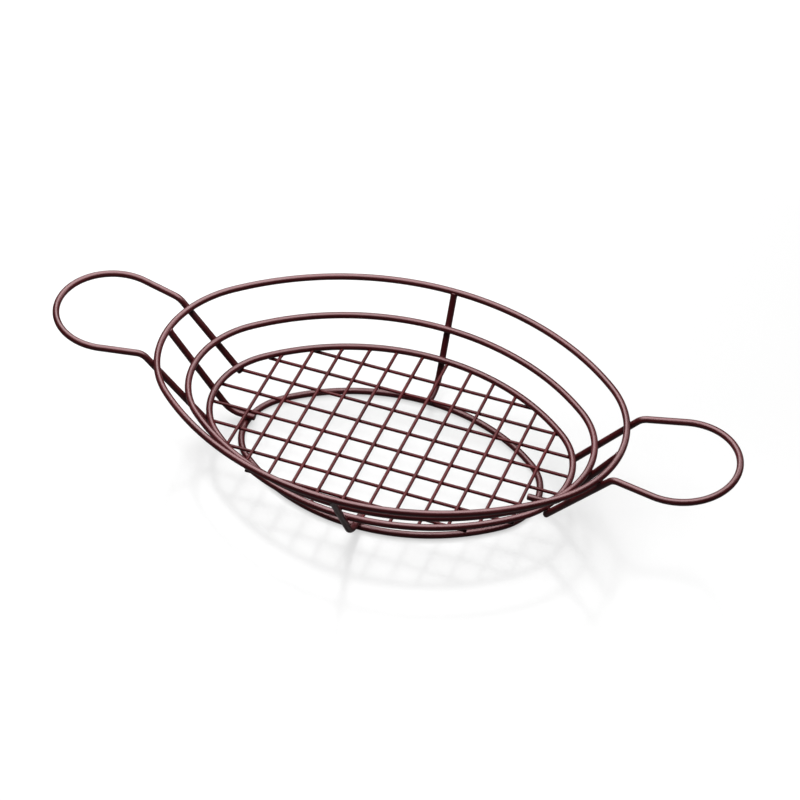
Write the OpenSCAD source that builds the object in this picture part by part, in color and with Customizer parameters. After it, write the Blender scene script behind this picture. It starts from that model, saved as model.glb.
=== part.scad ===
// Oval wire serving basket with two loop handles.
// Millimetres. The origin is on the table under the middle of the basket, with +X along its length
// and +Z up. Every wire is a node of its own, as it was before it was welded to its neighbours.

/* [Wire] */
// Thickness of the heavy wire: hoops, foot ring, uprights and handles
frame_wire = 4; // [3:0.25:5]
// Thickness of the thin wire of the floor mesh
mesh_wire = 2; // [1.5:0.25:2.5]

/* [Rim hoop] */
// Length between wire centres
rim_length = 280; // [265:5:340]
// Width between wire centres
rim_width = 188; // [172:4:216]
// Height of the wire's centre above the table
rim_height = 59; // [52:1:80]

/* [Middle hoop] */
// Height of the wire's centre above the table
middle_height = 41; // [36:1:46]

/* [Floor hoop] */
// Length between wire centres
floor_length = 220; // [205:1:235]
// Width between wire centres
floor_width = 142; // [130:1:156]
// Height of the wire's centre above the table
floor_height = 24; // [20:1:30]

/* [Foot ring] */
// Length between wire centres
ring_length = 183; // [165:2:190]
// Width between wire centres
ring_width = 112; // [100:2:118]

/* [Floor mesh] */
// Room beyond the outermost cross wires to the ends of the floor hoop, where the mesh is centred
mesh_end_room = 22.8; // [16:0.1:30]
// Room beyond the outermost long wires to the sides of the floor hoop, where the mesh is centred
mesh_side_room = 16.7; // [10:0.1:22]
// How far the mesh sits to the right of the middle
mesh_shift_x = 2; // [-3:0.5:3]
// How far the mesh sits behind the middle, in front of it where negative
mesh_shift_y = -0.5; // [-3:0.5:3]
// How far a long wire runs past the floor hoop's centre, under the hoop
long_wire_past = 1; // [0:0.25:1.25]
// How far short of that centre a long wire ends where a handle's leg stands in its way
long_wire_short = 0.75; // [0.25:0.25:1.5]
// How deep the end of a cross wire beds into the side of the floor hoop
cross_wire_bedding = 1; // [0.75:0.25:1.25]

/* [Uprights] */
// Inside bend between an upright and its foot, to the wire's centre
upright_bend = 14; // [10:1:16]
// How far a foot runs on past the foot ring
foot_overhang = 5; // [3:0.5:10]
// How far the back upright stands to the right of the middle
back_upright_x = 5; // [-8:1:8]
// How far the front upright stands to the right of the middle
front_upright_x = 2; // [-8:1:8]
// How far the two end uprights stand in front of the middle
end_upright_y = 2; // [-6:1:6]
// How deep an upright's top beds into the rim
top_bedding = 0.3; // [0.1:0.1:0.5]

/* [Handles] */
// Distance between a handle's two legs at the rim
neck_width = 52; // [44:1:60]
// Distance between a handle's two legs at the floor hoop
leg_width = 48; // [40:1:56]
// Height of the bend between leg and loop above the rim's centre
neck_height = 3.5; // [3:0.5:8]
// Bend between leg and loop, to the wire's centre
neck_bend = 8; // [6:0.5:10]
// How far a leg runs on below the floor hoop's centre
leg_tail = 6; // [3:0.5:10]
// Radius of the loop, to the wire's centre
loop_radius = 32.5; // [31:0.5:36]
// Distance from the bend to the outer end of the loop
loop_reach = 64.5; // [60:0.5:80]
// How much the loop rises outwards, in degrees
loop_rise = 2.5; // [0:0.5:10]

/* [Hidden] */
$fn = 48;
// Running gap between wires that lie against each other
gap = 0.04;
// Two round wires that touch stand this far apart, centre to centre
lap = frame_wire + gap;
// Where two stretches of one wire meet, a bead this much thicker than the wire makes them overlap
bead = 0.04;
// An oval of two radii looks elliptic when its ends are this much blunter than an ellipse's
end_ease = 1.03;
foot_height = frame_wire / 2 + lap;
// How many mesh wires run along the floor and across it
long_wires = 8;
cross_wires = 12;

// An oval is its half length, its half width and the radius of its ends
function oval(length, width) = let (a = length / 2, b = width / 2) [a, b, end_ease * b * b / a];
function inset(o, by) = [o[0] - by, o[1] - by, o[2] - by];
function end_centre(o) = o[0] - o[2];
function side_radius(o) = (end_centre(o) ^ 2 + o[1] ^ 2 - o[2] ^ 2) / (2 * (o[1] - o[2]));
function end_angle(o) = atan2(side_radius(o) - o[1], end_centre(o));
// Half length of an oval at the distance y from its long axis
function along(o, y) = abs(y) <= o[2] * sin(end_angle(o))
    ? end_centre(o) + sqrt(o[2] ^ 2 - y ^ 2)
    : sqrt(side_radius(o) ^ 2 - (abs(y) + side_radius(o) - o[1]) ^ 2);
// Half width of an oval at the distance x from its short axis
function across(o, x) = abs(x) <= side_radius(o) * cos(end_angle(o))
    ? o[1] - side_radius(o) + sqrt(side_radius(o) ^ 2 - x ^ 2)
    : sqrt(o[2] ^ 2 - (abs(x) - end_centre(o)) ^ 2);

rim = oval(rim_length, rim_width);
floor_oval = oval(floor_length, floor_width);
ring = oval(ring_length, ring_width);

// Slope of an upright that starts under the rim and lies against the outside of the floor hoop
rim_rise = rim_height - floor_height;
function slope(out) = atan2(rim_rise, out) + asin(lap / norm([out, rim_rise]));
// Half a middle hoop that lies against the inside of such an upright
function middle_half(rim_half, floor_half) = let (s = slope(rim_half - floor_half))
    rim_half - (rim_height - middle_height) / tan(s) - lap / sin(s);
middle = oval(2 * middle_half(rim[0], floor_oval[0]), 2 * middle_half(rim[1], floor_oval[1]));

// The mesh wires are spread evenly between the rooms at the floor's ends and sides
long_pitch = (floor_width - 2 * mesh_side_room) / (long_wires - 1);
cross_pitch = (floor_length - 2 * mesh_end_room) / (cross_wires - 1);
long_wire_height = floor_height - frame_wire / 2 - gap - mesh_wire / 2;
cross_wire_height = long_wire_height + mesh_wire + gap;
function long_wire_y(i) = mesh_shift_y + ((long_wires + 1) / 2 - i) * long_pitch;
function cross_wire_x(i) = mesh_shift_x + (i - (cross_wires + 1) / 2) * cross_pitch;

// Wire bent to a line of points, with a bend radius at each inner point
function unit(v) = v / norm(v);
function turn(p, i) = acos(unit(p[i] - p[i - 1]) * unit(p[i + 1] - p[i]));
function set_back(p, r, i) = i == 0 || i == len(p) - 1 ? 0 : r[i - 1] * tan(turn(p, i) / 2);

module in_frame(x, y, z, origin) {
    multmatrix([
        [x[0], y[0], z[0], origin[0]],
        [x[1], y[1], z[1], origin[1]],
        [x[2], y[2], z[2], origin[2]],
        [0, 0, 0, 1]
    ]) children();
}

// Turns what stands on the origin along +Z to stand on a point along another way
module facing(way, at) {
    x = unit(cross(way, abs(way[2]) < 0.9 ? [0, 0, 1] : [1, 0, 0]));
    in_frame(x, cross(way, x), way, at) children();
}

module straight(from, to, thickness) {
    facing(unit(to - from), from) cylinder(h = norm(to - from), d = thickness);
}

module join(at, way, thickness) {
    facing(way, at) sphere(d = thickness + bead);
}

// Arc of wire in the plane of X and Y, between two angles
module arc(radius, from, to, thickness) {
    rotate(from) rotate_extrude(angle = to - from) translate([radius, 0]) circle(d = thickness);
}

module bend(before, corner, after, radius, thickness) {
    way_in = unit(corner - before);
    way_out = unit(after - corner);
    angle = acos(way_in * way_out);
    axis = unit(cross(way_in, way_out));
    centre = corner + unit(way_out - way_in) * radius / cos(angle / 2);
    start = unit(cross(way_in, axis));
    in_frame(start, way_in, axis, centre) arc(radius, 0, angle, thickness);
}

module bent_wire(p, r, thickness) {
    for (i = [0:len(p) - 2]) {
        way = unit(p[i + 1] - p[i]);
        straight(p[i] + way * set_back(p, r, i), p[i + 1] - way * set_back(p, r, i + 1), thickness);
    }
    for (i = [1:len(p) - 2]) {
        bend(p[i - 1], p[i], p[i + 1], r[i - 1], thickness);
        for (next = [p[i - 1], p[i + 1]]) {
            way = unit(next - p[i]);
            join(p[i] + way * set_back(p, r, i), way, thickness);
        }
    }
}

// Closed oval hoop of four arcs that meet smoothly
module hoop(o, height, thickness) {
    e = end_angle(o);
    translate([0, 0, height])
        for (side = [0, 180]) rotate(side) {
            translate([end_centre(o), 0]) arc(o[2], -e, e, thickness);
            translate([0, o[1] - side_radius(o)]) arc(side_radius(o), e, 180 - e, thickness);
            for (at = [-e, e])
                join([end_centre(o) + o[2] * cos(at), o[2] * sin(at), 0], [-sin(at), cos(at), 0], thickness);
        }
}

module rim_hoop() {
    color("#5a3436") hoop(rim, rim_height, frame_wire);
}

module middle_hoop() {
    color("#54302f") hoop(middle, middle_height, frame_wire);
}

module floor_hoop() {
    color("#4e2b2c") hoop(floor_oval, floor_height, frame_wire);
}

module foot_ring() {
    color("#482628") hoop(ring, frame_wire / 2, frame_wire);
}

// Upright in the plane of X and Z: under the rim, outside the floor hoop, then in over the foot ring
module upright(rim_at, floor_at, ring_at) {
    s = slope(rim_at - floor_at);
    down = [-cos(s), 0, -sin(s)];
    top = [rim_at, 0, rim_height] + down * (frame_wire / 2 - top_bedding);
    corner = [rim_at - (rim_height - foot_height) / tan(s), 0, foot_height];
    tip = [ring_at - foot_overhang, 0, foot_height];
    bent_wire([top, corner, tip], [upright_bend], frame_wire);
}

module back_upright() {
    x = back_upright_x;
    color("#4a282a") difference() {
        translate([x, 0]) rotate(90) upright(across(rim, x), across(floor_oval, x), across(ring, x));
        hoop(rim, rim_height, frame_wire + 2 * gap);
    }
}

module front_upright() {
    x = front_upright_x;
    color("#6b5553") difference() {
        translate([x, 0]) rotate(-90) upright(across(rim, x), across(floor_oval, x), across(ring, x));
        hoop(rim, rim_height, frame_wire + 2 * gap);
    }
}

module left_upright() {
    y = end_upright_y;
    color("#4a282a") difference() {
        translate([0, -y]) rotate(180) upright(along(rim, y), along(floor_oval, y), along(ring, y));
        hoop(rim, rim_height, frame_wire + 2 * gap);
    }
}

module right_upright() {
    y = end_upright_y;
    color("#4a282a") difference() {
        translate([0, -y]) upright(along(rim, y), along(floor_oval, y), along(ring, y));
        hoop(rim, rim_height, frame_wire + 2 * gap);
    }
}

// How far out of a hoop's centre a leg runs where it lies against the outside of the hoop
function leg_seat(o, y, way) = let (along_hoop = [-y, sqrt(o[2] ^ 2 - y ^ 2), 0] / o[2])
    lap * norm(cross(way, along_hoop)) / (way[2] * along_hoop[1]);

// Handle at the right end: a leg up the outside of the hoops, the loop, and the other leg down
module handle() {
    rim_y = neck_width / 2;
    floor_y = leg_width / 2;
    floor_x = along(floor_oval, floor_y);
    rim_x = along(rim, rim_y);
    way = [rim_x - floor_x, rim_y - floor_y, rim_rise];
    at_floor = [floor_x + leg_seat(floor_oval, floor_y, way), floor_y, floor_height];
    at_rim = [rim_x + leg_seat(rim, rim_y, way), rim_y, rim_height];
    climb = (at_rim - at_floor) / rim_rise;
    foot = at_floor - climb * leg_tail;
    neck = at_rim + climb * neck_height;

    // The loop is a circle in a plane that rises outwards, and the wire runs straight on to it
    centre_out = loop_reach - loop_radius;
    touch = 180 - atan2(neck[1], centre_out) - acos(loop_radius / norm([centre_out, neck[1]]));
    touch_out = centre_out + loop_radius * cos(touch);
    touch_at = [
        neck[0] + touch_out * cos(loop_rise), loop_radius * sin(touch), neck[2] + touch_out * sin(loop_rise)
    ];

    for (side = [0, 1]) mirror([0, side, 0]) bent_wire([foot, neck, touch_at], [neck_bend], frame_wire);
    translate([neck[0], 0, neck[2]]) rotate([0, -loop_rise, 0]) translate([centre_out, 0]) {
        arc(loop_radius, -touch, touch, frame_wire);
        for (at = [-touch, touch])
            join(loop_radius * [cos(at), sin(at), 0], [-sin(at), cos(at), 0], frame_wire);
    }
}

module left_handle() {
    color("#604044") rotate(180) handle();
}

module right_handle() {
    color("#5a3a3d") handle();
}

// A long wire lies under the floor hoop, and stops before a handle's leg
module long_wire(i) {
    y = long_wire_y(i);
    beside_leg = abs(abs(y) - leg_width / 2) < (frame_wire + mesh_wire) / 2 + gap;
    half = along(inset(floor_oval, beside_leg ? long_wire_short : -long_wire_past), y);
    color("#56292d") straight([-half, y, long_wire_height], [half, y, long_wire_height], mesh_wire);
}

// A cross wire lies on the long wires, with its ends shaped to the side of the floor hoop
module cross_wire(i) {
    x = cross_wire_x(i);
    half = across(inset(floor_oval, frame_wire / 2 - cross_wire_bedding), x);
    color("#5e4446") difference() {
        straight([x, -half, cross_wire_height], [x, half, cross_wire_height], mesh_wire);
        hoop(floor_oval, floor_height, frame_wire + 2 * gap);
    }
}

rim_hoop();
middle_hoop();
floor_hoop();
foot_ring();
back_upright();
front_upright();
left_upright();
right_upright();
left_handle();
right_handle();
for (i = [1:long_wires])
    long_wire(i);
for (i = [1:cross_wires])
    cross_wire(i);
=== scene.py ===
"""Looks of the oval wire serving basket: steel wire, bent, welded and powder coated red-brown."""

import math

import bpy
from mathutils import Matrix, Vector
from mathutils.geometry import intersect_line_line


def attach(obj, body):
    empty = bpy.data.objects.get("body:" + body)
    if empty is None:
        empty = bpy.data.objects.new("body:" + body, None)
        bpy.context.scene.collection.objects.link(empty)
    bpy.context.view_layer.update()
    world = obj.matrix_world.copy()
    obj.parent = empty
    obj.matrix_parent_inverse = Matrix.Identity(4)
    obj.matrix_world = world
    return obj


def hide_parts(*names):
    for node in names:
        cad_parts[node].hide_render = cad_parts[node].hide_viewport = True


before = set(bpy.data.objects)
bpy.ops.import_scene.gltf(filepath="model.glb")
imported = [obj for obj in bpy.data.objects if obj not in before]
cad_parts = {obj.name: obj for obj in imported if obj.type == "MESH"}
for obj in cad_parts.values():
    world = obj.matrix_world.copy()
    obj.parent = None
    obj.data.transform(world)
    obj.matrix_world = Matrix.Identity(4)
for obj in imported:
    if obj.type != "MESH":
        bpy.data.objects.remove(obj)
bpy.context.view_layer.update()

MM = 0.001

# Measures of the part's source, in metres
HEAVY = 4 * MM
THIN = 2 * MM
GAP = 0.04 * MM
LAP = HEAVY + GAP
RIM_HEIGHT = 59 * MM
MIDDLE_HEIGHT = 41 * MM
FLOOR_HEIGHT = 24 * MM
FOOT_HEIGHT = HEAVY / 2 + LAP
MESH_END_ROOM = 22.8 * MM
MESH_SIDE_ROOM = 16.7 * MM
MESH_SHIFT = Vector((2 * MM, -0.5 * MM))
LONG_WIRE_PAST = 1 * MM
LONG_WIRE_SHORT = 0.75 * MM
CROSS_WIRE_BEDDING = 1 * MM
LONG_WIRES = 8
CROSS_WIRES = 12
UPRIGHT_BEND = 14 * MM
FOOT_OVERHANG = 5 * MM
NECK_HALF = 26 * MM
LEG_HALF = 24 * MM
NECK_HEIGHT = 3.5 * MM
NECK_BEND = 8 * MM
LEG_TAIL = 6 * MM
LOOP_RADIUS = 32.5 * MM
LOOP_REACH = 64.5 * MM
LOOP_RISE = math.radians(2.5)

# How finely wire is drawn: sides round it, the longest step and the widest turn in a bend, and the
# number of steps in the straight middle of a floor wire
HEAVY_SIDES = 28
THIN_SIDES = 16
LONGEST_STEP = 2.5 * MM
WIDEST_TURN = math.radians(6)
STRAIGHT_STEPS = 8

# Faces that meet at less than this angle are shaded smooth. Points closer than this become one
SMOOTH_UP_TO = math.radians(50)
SAME_POINT = 0.01 * MM

# Rounding of the cut ends
ROUNDING_STEPS = 4
UPRIGHT_ROUNDING = 0.5 * MM
HANDLE_ROUNDING = 1.1 * MM
MESH_ROUNDING = 0.35 * MM

# Fillet of the butt weld at an upright's top: how far the wire goes into the rim, the steps down
# from there, and the width before and after each of them, in widths of the wire
TOP_IN_RIM = 0.6 * MM
TOP_STEPS = (1.2 * MM, 0.9 * MM, 0.9 * MM)
TOP_WIDTHS = (1.16, 1.11, 1.03, 1)

# Squashed ends of the cross wires: how much wider the wire is there, the steps in from the end, and
# the share of the squash before and after each of them
SQUASH = 0.3
SQUASH_STEPS = (0.45 * MM, 0.45 * MM, 0.5 * MM)
SQUASH_SHARES = (1, 0.8, 0.27, 0)

# Welds between crossing wires: the steps of a collar from its waist to either rim, and its width
# before and after each of them, in radii of the wire
COLLAR_STEPS = (0.2, 0.3)
COLLAR_WIDTHS = (0.62, 0.68, 0.85)
HEAVY_WELD_SIDES = 20
THIN_WELD_SIDES = 12

# How far in from the end of a long wire its weld to the floor hoop lies: in most wires, and in
# those that stop before a handle's leg
WELD_INSET = 1.2 * MM
STOPPED_WELD_INSET = 0.5 * MM

# Radius of an oval's ends, as a share of a true ellipse's
END_RADIUS = 1.03

UP = Vector((0, 0, 1))


# Ovals of four arcs: half length, half width and the radius of the ends
def oval(half_length, half_width):
    return half_length, half_width, END_RADIUS * half_width**2 / half_length


def side_radius(o):
    return ((o[0] - o[2]) ** 2 + o[1] ** 2 - o[2] ** 2) / (2 * (o[1] - o[2]))


def end_angle(o):
    return math.atan2(side_radius(o) - o[1], o[0] - o[2])


def along(o, y):
    """Half length of an oval at the distance y from its long axis."""
    if abs(y) <= o[2] * math.sin(end_angle(o)):
        return o[0] - o[2] + math.sqrt(o[2] ** 2 - y**2)
    return math.sqrt(side_radius(o) ** 2 - (abs(y) + side_radius(o) - o[1]) ** 2)


def across(o, x):
    """Half width of an oval at the distance x from its short axis."""
    if abs(x) <= side_radius(o) * math.cos(end_angle(o)):
        return o[1] - side_radius(o) + math.sqrt(side_radius(o) ** 2 - x**2)
    return math.sqrt(o[2] ** 2 - (abs(x) - o[0] + o[2]) ** 2)


def slope(out):
    """Slope of an upright from under the rim down the outside of the floor hoop."""
    rise = RIM_HEIGHT - FLOOR_HEIGHT
    return math.atan2(rise, out) + math.asin(LAP / math.hypot(out, rise))


def middle_half(rim_half, floor_half):
    s = slope(rim_half - floor_half)
    return rim_half - (RIM_HEIGHT - MIDDLE_HEIGHT) / math.tan(s) - LAP / math.sin(s)


RIM = oval(140 * MM, 94 * MM)
FLOOR = oval(110 * MM, 71 * MM)
RING = oval(91.5 * MM, 56 * MM)
MIDDLE = oval(middle_half(RIM[0], FLOOR[0]), middle_half(RIM[1], FLOOR[1]))
LONG_EDGE = tuple(size + LONG_WIRE_PAST for size in FLOOR)
LEG_EDGE = tuple(size - LONG_WIRE_SHORT for size in FLOOR)
CROSS_EDGE = tuple(size - HEAVY / 2 + CROSS_WIRE_BEDDING for size in FLOOR)


# Camera where the photograph was taken from: above, a little to the right, from about 1.8 m
VIEW_AZIMUTH = math.radians(21.06)
VIEW_ELEVATION = math.radians(43.32)
VIEW_ROLL = math.radians(0.11)
VIEW_DISTANCE = 1.8
VIEW_TARGET = Vector((0, 0, 52.5 * MM))
VIEW_ASIDE = 6.1 * MM
VIEW_LOW = 0.7 * MM
VIEW_LENS = 140.67
VIEW_CLIP_END = 50
right = Vector((math.cos(VIEW_AZIMUTH), math.sin(VIEW_AZIMUTH), 0))
back = Vector((
    math.sin(VIEW_AZIMUTH) * math.cos(VIEW_ELEVATION),
    -math.cos(VIEW_AZIMUTH) * math.cos(VIEW_ELEVATION),
    math.sin(VIEW_ELEVATION),
))
camera = bpy.data.objects.new("camera", bpy.data.cameras.new("camera"))
scene = bpy.context.scene
scene.collection.objects.link(camera)
scene.camera = camera
camera.data.lens = VIEW_LENS
camera.data.clip_end = VIEW_CLIP_END
turned = Matrix((right, back.cross(right), back)).transposed() @ Matrix.Rotation(VIEW_ROLL, 3, "Z")
stand = VIEW_TARGET + right * VIEW_ASIDE - back.cross(right) * VIEW_LOW + back * VIEW_DISTANCE
camera.matrix_world = Matrix.Translation(stand) @ turned.to_4x4()


# Wire bent to shape. Each wire starts as a ring of points across its line, which is drawn on and
# bent round in edit mode, as wire is fed through a bender
def start_wire(name, at, way, thickness, sides):
    bpy.ops.object.select_all(action="DESELECT")
    turn = way.to_track_quat("Z", "Y").to_euler()
    bpy.ops.mesh.primitive_circle_add(
        vertices=sides, radius=thickness / 2, location=at, rotation=turn,
    )
    wire = bpy.context.object
    wire.name = wire.data.name = f"coated_{name}"
    bpy.ops.object.transform_apply(location=True, rotation=True, scale=True)
    bpy.ops.object.mode_set(mode="EDIT")
    bpy.ops.mesh.select_mode(type="EDGE")
    bpy.ops.mesh.select_all(action="SELECT")
    return wire


def draw_on(step, swell=1, at=None):
    """Draws the wire straight on, with its last ring swelled round the point at."""
    bpy.ops.mesh.extrude_region_move(TRANSFORM_OT_translate={"value": step})
    if swell != 1:
        bpy.ops.transform.resize(value=(swell,) * 3, center_override=at)


def draw_on_in_steps(at, way, steps, widths):
    """Draws the wire on in steps from the point at, with its width changed at each of them."""
    for step, before, after in zip(steps, widths, widths[1:]):
        at = at + way * step
        draw_on(way * step, after / before, at)
    return at


def bend_on(centre, axis, angle, radius):
    """Bends the wire round a former."""
    steps = max(2, math.ceil(angle / WIDEST_TURN), math.ceil(angle * radius / LONGEST_STEP))
    # The spin operator turns left-handed, so its axis is reversed
    bpy.ops.mesh.spin(steps=steps, angle=angle, center=centre, axis=-axis)


def run_through(points, radius):
    """Draws the wire on through points, with a bend of that radius at each inner one."""
    at = points[0]
    for before, corner, after in zip(points, points[1:], points[2:]):
        way_in, way_out = (corner - before).normalized(), (after - corner).normalized()
        angle = way_in.angle(way_out)
        set_back = radius * math.tan(angle / 2)
        draw_on(corner - way_in * set_back - at)
        centre = corner + (way_out - way_in).normalized() * radius / math.cos(angle / 2)
        bend_on(centre, way_in.cross(way_out).normalized(), angle, radius)
        at = corner + way_out * set_back
    draw_on(points[-1] - at)


def close_ends(sides, rounding):
    """Fills the two cut ends and rounds them off."""
    bpy.ops.mesh.select_all(action="SELECT")
    bpy.ops.mesh.fill_holes(sides=0)
    bpy.ops.mesh.select_all(action="DESELECT")
    bpy.ops.mesh.select_face_by_sides(number=sides)
    bpy.ops.mesh.bevel(offset=rounding, segments=ROUNDING_STEPS, affect="EDGES")


def set_down(piece, material, node=None):
    """Finishes a piece: faces outwards, smooth, its coat, and its place in the frame."""
    if piece.mode == "EDIT":
        bpy.ops.mesh.select_all(action="SELECT")
        bpy.ops.mesh.normals_make_consistent(inside=False)
        bpy.ops.object.mode_set(mode="OBJECT")
    bpy.ops.object.shade_smooth_by_angle(angle=SMOOTH_UP_TO)
    piece.data.materials.clear()
    piece.data.materials.append(material)
    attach(piece, "root")
    if node:
        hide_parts(node)


# Materials
def linear(code):
    """A colour as written in sRGB hex, turned to linear."""
    parts = [int(code[i:i + 2], 16) / 255 for i in (1, 3, 5)]
    return [c / 12.92 if c <= 0.04045 else ((c + 0.055) / 1.055) ** 2.4 for c in parts] + [1]


def add(tree, kind, settings=None, **links):
    """Adds a node. A setting is the value of a socket, or else a property of the node. A link is
    named for its socket, or _0, _1 or _2 for the socket's place."""
    node = tree.nodes.new(kind)
    for name, value in (settings or {}).items():
        if name in node.inputs.keys():
            node.inputs[name].default_value = value
        else:
            setattr(node, name, value)
    for name, source in links.items():
        socket = int(name[1:]) if name[1:].isdigit() else name
        tree.links.new(source, node.inputs[socket])
    return node


# How many of them a metre of coat holds: drifts of film thickness, grains of pigment, and waves of
# orange peel
DRIFTS = 40
GRAINS = 1700
PEELS = 850
# What the grains count for in the colour, against the drifts
GRAIN_SHARE = 0.35
CURED_POLYESTER_IOR = 1.5


def powder_coat(name, dark, light, shine, peel_depth):
    """Polyester powder, sprayed on the welded wire and cured in an oven. The cured film flows out
    to a satin gloss with a slight orange peel, and its colour is a little uneven where it lies
    thicker."""
    material = bpy.data.materials.new(name)
    material.use_nodes = True
    tree = material.node_tree
    shader = tree.nodes["Principled BSDF"]
    shader.inputs["IOR"].default_value = CURED_POLYESTER_IOR
    shader.inputs["Specular IOR Level"].default_value = shine
    # The red of the powder shows in the sheen as well
    shader.inputs["Specular Tint"].default_value = (1, 0.7, 0.72, 1)
    place = add(tree, "ShaderNodeTexCoord").outputs["Object"]
    # Film thickness drifts over some 25 mm of wire
    drift = add(
        tree, "ShaderNodeTexNoise", {"Scale": DRIFTS, "Detail": 3, "Roughness": 0.6}, Vector=place,
    )
    # Grains of pigment, drawn at 0.6 mm so that they show
    grain = add(
        tree, "ShaderNodeTexNoise", {"Scale": GRAINS, "Detail": 2, "Roughness": 0.7}, Vector=place,
    )
    blend = add(
        tree, "ShaderNodeMath", {"operation": "MULTIPLY_ADD"},
        _0=grain.outputs["Fac"], _2=drift.outputs["Fac"],
    )
    blend.inputs[1].default_value = GRAIN_SHARE
    colour = add(tree, "ShaderNodeValToRGB", None, Fac=blend.outputs[0])
    colour.color_ramp.elements[0].position = 0.4
    colour.color_ramp.elements[0].color = linear(dark)
    colour.color_ramp.elements[1].position = 0.95
    colour.color_ramp.elements[1].color = linear(light)
    tree.links.new(colour.outputs["Color"], shader.inputs["Base Color"])
    # The gloss wanders between a rubbed and a dull satin
    gloss = add(
        tree, "ShaderNodeMapRange",
        {"From Min": 0.3, "From Max": 0.7, "To Min": 0.3, "To Max": 0.4},
        Value=drift.outputs["Fac"],
    )
    tree.links.new(gloss.outputs["Result"], shader.inputs["Roughness"])
    # Orange peel, in waves of about 1.2 mm
    peel = add(
        tree, "ShaderNodeTexNoise", {"Scale": PEELS, "Detail": 1, "Roughness": 0.4}, Vector=place,
    )
    bump = add(
        tree, "ShaderNodeBump", {"Strength": 0.5, "Distance": peel_depth},
        Height=peel.outputs["Fac"],
    )
    tree.links.new(bump.outputs["Normal"], shader.inputs["Normal"])
    return material


heavy_coat = powder_coat("satin_powder_coat_on_heavy_wire", "#2e0608", "#450e12", 0.9, 0.06 * MM)
thin_coat = powder_coat("satin_powder_coat_on_thin_wire", "#330709", "#4f1014", 0.26, 0.04 * MM)


# The four hoops
def hoop(name, o, height, node):
    e, reach, big = end_angle(o), o[0] - o[2], side_radius(o)
    at = Vector((reach + o[2] * math.cos(e), -o[2] * math.sin(e), height))
    wire = start_wire(name, at, Vector((math.sin(e), math.cos(e), 0)), HEAVY, HEAVY_SIDES)
    for side in (1, -1):
        bend_on(Vector((side * reach, 0, height)), UP, 2 * e, o[2])
        bend_on(Vector((0, side * (o[1] - big), height)), UP, math.pi - 2 * e, big)
    # The last ring meets the first
    bpy.ops.mesh.select_all(action="SELECT")
    bpy.ops.mesh.remove_doubles(threshold=SAME_POINT)
    set_down(wire, heavy_coat, node)


hoop("rim", RIM, RIM_HEIGHT, "rim_hoop")
hoop("middle", MIDDLE, MIDDLE_HEIGHT, "middle_hoop")
hoop("floor_edge", FLOOR, FLOOR_HEIGHT, "floor_hoop")
hoop("foot", RING, HEAVY / 2, "foot_ring")

# Places of the welds between crossing heavy wires, and the direction from one wire to the other
welds = []


# The four uprights, each in the plane of the direction out and +Z
def upright(name, out, origin, rim_at, floor_at, middle_at, ring_at):
    s = slope(rim_at - floor_at)
    climb = out * math.cos(s) + UP * math.sin(s)
    inward = UP * math.cos(s) - out * math.sin(s)
    rim_centre = origin + out * rim_at + UP * RIM_HEIGHT
    corner_at = rim_at - (RIM_HEIGHT - FOOT_HEIGHT) / math.tan(s)
    corner = origin + out * corner_at + UP * FOOT_HEIGHT
    tip = origin + out * (ring_at - FOOT_OVERHANG) + UP * FOOT_HEIGHT
    # The top is butt welded under the rim, with a small fillet
    top = rim_centre - climb * TOP_IN_RIM
    wire = start_wire(name, top, -climb, HEAVY * TOP_WIDTHS[0], HEAVY_SIDES)
    below_fillet = draw_on_in_steps(top, -climb, TOP_STEPS, TOP_WIDTHS)
    run_through([below_fillet, corner, tip], UPRIGHT_BEND)
    close_ends(HEAVY_SIDES, UPRIGHT_ROUNDING)
    for hoop_at, height in ((middle_at, MIDDLE_HEIGHT), (floor_at, FLOOR_HEIGHT)):
        welds.append((origin + out * hoop_at + UP * height - inward * LAP / 2, inward))
    welds.append((origin + out * ring_at + UP * (HEAVY + GAP / 2), UP))
    set_down(wire, heavy_coat, name)


for name, out, aside in (("back_upright", 1, 5 * MM), ("front_upright", -1, 2 * MM)):
    places = [across(o, aside) for o in (RIM, FLOOR, MIDDLE, RING)]
    upright(name, Vector((0, out, 0)), Vector((aside, 0, 0)), *places)
for name, out, aside in (("right_upright", 1, -2 * MM), ("left_upright", -1, 2 * MM)):
    places = [along(o, aside) for o in (RIM, FLOOR, MIDDLE, RING)]
    upright(name, Vector((out, 0, 0)), Vector((0, aside, 0)), *places)


# The two handles, each one wire: up a leg, round the loop and down the other leg
def leg_seat(o, y, way):
    """How far out of a hoop's centre a leg runs where it lies against the outside of the hoop."""
    along_hoop = Vector((-y, math.sqrt(o[2] ** 2 - y**2), 0)) / o[2]
    return LAP * way.cross(along_hoop).length / (way.z * along_hoop.y)


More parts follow.
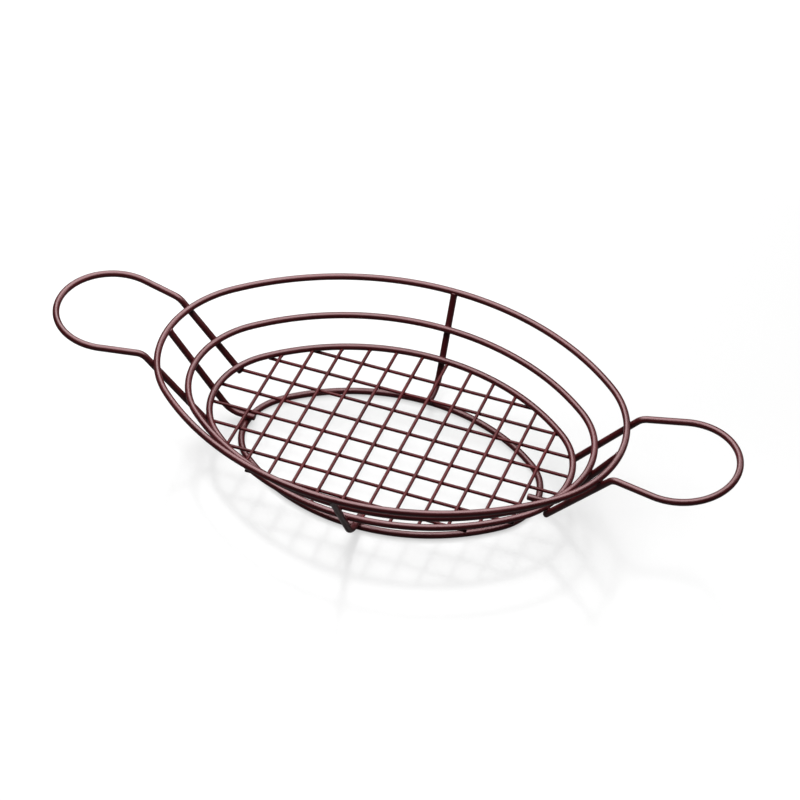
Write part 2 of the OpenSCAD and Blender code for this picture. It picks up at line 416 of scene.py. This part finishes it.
def handle(name, heading):
    floor_x, rim_x = along(FLOOR, LEG_HALF), along(RIM, NECK_HALF)
    way = Vector((rim_x - floor_x, NECK_HALF - LEG_HALF, RIM_HEIGHT - FLOOR_HEIGHT))
    at_floor = Vector((floor_x + leg_seat(FLOOR, LEG_HALF, way), LEG_HALF, FLOOR_HEIGHT))
    at_rim = Vector((rim_x + leg_seat(RIM, NECK_HALF, way), NECK_HALF, RIM_HEIGHT))
    climb = (at_rim - at_floor) / (RIM_HEIGHT - FLOOR_HEIGHT)
    foot, neck = at_floor - climb * LEG_TAIL, at_rim + climb * NECK_HEIGHT
    centre_out = LOOP_REACH - LOOP_RADIUS
    # The loop starts where the wire from the neck touches it
    neck_off = math.hypot(centre_out, neck.y)
    touch = math.pi - math.atan2(neck.y, centre_out) - math.acos(LOOP_RADIUS / neck_off)
    out = Vector((math.cos(LOOP_RISE), 0, math.sin(LOOP_RISE)))
    centre = Vector((neck.x, 0, neck.z)) + out * centre_out
    touch_at = centre + out * LOOP_RADIUS * math.cos(touch)
    touch_at.y = LOOP_RADIUS * math.sin(touch)
    turn = Matrix.Rotation(heading, 3, "Z")
    other = Matrix.Diagonal((1, -1, 1))
    up_leg = [turn @ point for point in (foot, neck, touch_at)]
    down_leg = [turn @ (other @ point) for point in (touch_at, neck, foot)]
    wire = start_wire(name, up_leg[0], (up_leg[1] - up_leg[0]).normalized(), HEAVY, HEAVY_SIDES)
    run_through(up_leg, NECK_BEND)
    loop_axis = Vector((math.sin(LOOP_RISE), 0, -math.cos(LOOP_RISE)))
    bend_on(turn @ centre, turn @ loop_axis, 2 * touch, LOOP_RADIUS)
    run_through(down_leg, NECK_BEND)
    close_ends(HEAVY_SIDES, HANDLE_ROUNDING)
    for o, y, height in ((FLOOR, LEG_HALF, FLOOR_HEIGHT), (RIM, NECK_HALF, RIM_HEIGHT)):
        on_hoop = Vector((along(o, y), y, height))
        beside = on_hoop + Vector((-y, math.sqrt(o[2] ** 2 - y**2), 0))
        leg_point, hoop_point = intersect_line_line(foot, neck, on_hoop, beside)
        for flip in (Matrix.Identity(3), other):
            middle = turn @ (flip @ ((leg_point + hoop_point) / 2))
            welds.append((middle, turn @ (flip @ (leg_point - hoop_point).normalized())))
    set_down(wire, heavy_coat, name)


handle("right_handle", 0)
handle("left_handle", math.pi)


# The floor mesh: long wires under the floor hoop, cross wires on them. The ends of the cross wires
# were squashed a little against the side of the hoop when they were welded
def mesh_wire(name, way, squash, half_length, place):
    widths = [1 + squash * share for share in SQUASH_SHARES]
    start = place - way * half_length
    wire = start_wire(name, start, way, THIN * widths[0], THIN_SIDES)
    draw_on_in_steps(start, way, SQUASH_STEPS, widths)
    middle_run = 2 * (half_length - sum(SQUASH_STEPS))
    for _ in range(STRAIGHT_STEPS):
        draw_on(way * middle_run / STRAIGHT_STEPS)
    draw_on_in_steps(place + way * middle_run / 2, way, SQUASH_STEPS[::-1], widths[::-1])
    close_ends(THIN_SIDES, MESH_ROUNDING)
    set_down(wire, thin_coat, name)


long_height = FLOOR_HEIGHT - HEAVY / 2 - GAP - THIN / 2
cross_height = long_height + THIN + GAP
long_pitch = 2 * (FLOOR[1] - MESH_SIDE_ROOM) / (LONG_WIRES - 1)
cross_pitch = 2 * (FLOOR[0] - MESH_END_ROOM) / (CROSS_WIRES - 1)
# The long wires are counted from the back, the cross wires from the left
long_ys = [
    MESH_SHIFT.y + ((LONG_WIRES + 1) / 2 - i) * long_pitch for i in range(1, LONG_WIRES + 1)
]
cross_xs = [
    MESH_SHIFT.x + (i - (CROSS_WIRES + 1) / 2) * cross_pitch for i in range(1, CROSS_WIRES + 1)
]
end_welds = []
for i, y in enumerate(long_ys, 1):
    # A wire that meets a handle's leg stops before it
    beside_leg = abs(abs(y) - LEG_HALF) < (HEAVY + THIN) / 2 + GAP
    half_length = along(LEG_EDGE if beside_leg else LONG_EDGE, y)
    mesh_wire(f"long_wire_{i}", Vector((1, 0, 0)), 0, half_length, Vector((0, y, long_height)))
    weld_x = half_length - (STOPPED_WELD_INSET if beside_leg else WELD_INSET)
    for x in (weld_x, -weld_x):
        end_welds.append((Vector((x, y, long_height + (THIN + GAP) / 2)), UP))
for i, x in enumerate(cross_xs, 1):
    half_length = across(CROSS_EDGE, x)
    mesh_wire(
        f"cross_wire_{i}", Vector((0, 1, 0)), SQUASH, half_length, Vector((x, 0, cross_height)),
    )


# Weld fillets: a waisted collar between two crossing wires, with its rims sunk in them
def fillets(name, thickness, places, material, sides):
    r = thickness / 2
    bpy.ops.object.select_all(action="DESELECT")
    bpy.ops.mesh.primitive_circle_add(vertices=sides, radius=COLLAR_WIDTHS[0] * r)
    collar = bpy.context.object
    bpy.ops.object.mode_set(mode="EDIT")
    bpy.ops.mesh.select_mode(type="EDGE")
    for way in (UP, -UP):
        # Each half is drawn on from the waist, whose edges come first
        bpy.ops.mesh.select_all(action="DESELECT")
        bpy.ops.object.mode_set(mode="OBJECT")
        for edge in collar.data.edges[:sides]:
            edge.select = True
        bpy.ops.object.mode_set(mode="EDIT")
        draw_on_in_steps(Vector(), way, [step * r for step in COLLAR_STEPS], COLLAR_WIDTHS)
    bpy.ops.mesh.select_all(action="SELECT")
    bpy.ops.mesh.fill_holes(sides=0)
    bpy.ops.mesh.normals_make_consistent(inside=False)
    bpy.ops.object.mode_set(mode="OBJECT")
    copies = []
    for at, normal in places:
        copy = collar.copy()
        copy.data = collar.data.copy()
        scene.collection.objects.link(copy)
        turn = normal.to_track_quat("Z", "Y").to_matrix().to_4x4()
        copy.data.transform(Matrix.Translation(at) @ turn)
        copies.append(copy)
    bpy.data.objects.remove(collar)
    bpy.ops.object.select_all(action="DESELECT")
    for copy in copies:
        copy.select_set(True)
    bpy.context.view_layer.objects.active = copies[0]
    bpy.ops.object.join()
    copies[0].name = copies[0].data.name = name
    set_down(copies[0], material)


crossings = [
    (Vector((x, y, long_height + (THIN + GAP) / 2)), UP)
    for x in cross_xs for y in long_ys
    if abs(x) < along(LEG_EDGE, y) - THIN and abs(y) < across(CROSS_EDGE, x) - THIN
]
fillets("frame_welds", HEAVY, welds, heavy_coat, HEAVY_WELD_SIDES)
fillets("mesh_welds", THIN, crossings + end_welds, thin_coat, THIN_WELD_SIDES)


# White glossy table, which shows the shadow and a faint reflection
TABLE_SIZE = 14
bpy.ops.object.select_all(action="DESELECT")
bpy.ops.mesh.primitive_plane_add(size=TABLE_SIZE)
table = bpy.context.object
table.name = "table"
surface = bpy.data.materials.new("white_gloss_acrylic_sheet")
surface.use_nodes = True
tree = surface.node_tree
shader = tree.nodes["Principled BSDF"]
shader.inputs["Roughness"].default_value = 0.2
shader.inputs["Specular IOR Level"].default_value = 0.3
rays = add(tree, "ShaderNodeLightPath")
# The sheet throws less light up at the wires than the camera gets from it. Sockets 6 and 7 of the
# node are its two colours, and 2 is the colour that comes out
sheet = add(tree, "ShaderNodeMix", {"data_type": "RGBA"}, _0=rays.outputs["Is Camera Ray"])
sheet.inputs[6].default_value = linear("#505050")
sheet.inputs[7].default_value = linear("#808080")
tree.links.new(sheet.outputs[2], shader.inputs["Base Color"])
# It is lifted to white for the camera: wholly so from 1 m off, less where the shadow falls
place = add(tree, "ShaderNodeTexCoord").outputs["Object"]
away = add(tree, "ShaderNodeVectorMath", {"operation": "LENGTH"}, _0=place)
white = add(
    tree, "ShaderNodeMapRange",
    {"From Min": 0.35, "From Max": 1, "To Min": 0.57, "To Max": 1},
    Value=away.outputs["Value"],
)
lift = add(
    tree, "ShaderNodeMath", {"operation": "MULTIPLY"},
    _0=rays.outputs["Is Camera Ray"], _1=white.outputs["Result"],
)
shader.inputs["Emission Color"].default_value = (1, 1, 1, 1)
tree.links.new(lift.outputs[0], shader.inputs["Emission Strength"])
table.data.materials.append(surface)

# Studio light: a large softbox overhead, which draws the sheen along the wires, and two smaller
# ones behind, which cast the shadows forwards and give the table its faint reflection. The room is
# white where the camera sees it and gives next to no light
world = bpy.data.worlds.new("white_room")
scene.world = world
world.use_nodes = True
tree = world.node_tree
room = tree.nodes["Background"]
rays = add(tree, "ShaderNodeLightPath")
seen = add(
    tree, "ShaderNodeMath", {"operation": "MAXIMUM"},
    _0=rays.outputs["Is Camera Ray"], _1=rays.outputs["Is Transmission Ray"],
)
strength = add(tree, "ShaderNodeMapRange", {"To Min": 0.02, "To Max": 1}, Value=seen.outputs[0])
room.inputs["Color"].default_value = (1, 1, 1, 1)
tree.links.new(strength.outputs["Result"], room.inputs["Strength"])


def softbox(name, at, width, height, power):
    """Hangs a softbox that looks at the origin."""
    lamp = bpy.data.objects.new(name, bpy.data.lights.new(name, "AREA"))
    scene.collection.objects.link(lamp)
    lamp.data.shape = "RECTANGLE"
    lamp.data.size, lamp.data.size_y, lamp.data.energy = width, height, power
    lamp.location = at
    lamp.rotation_euler = (-Vector(at)).to_track_quat("-Z", "Y").to_euler()
    lamp.visible_camera = False


softbox("overhead_softbox", (-0.1, 0.2, 1.0), 1.3, 1.1, 26)
softbox("back_left_softbox", (-0.5, 0.8, 0.72), 0.6, 0.5, 5)
softbox("back_right_softbox", (0.6, 0.8, 0.62), 0.35, 0.4, 1.5)

scene.view_settings.view_transform = "Standard"
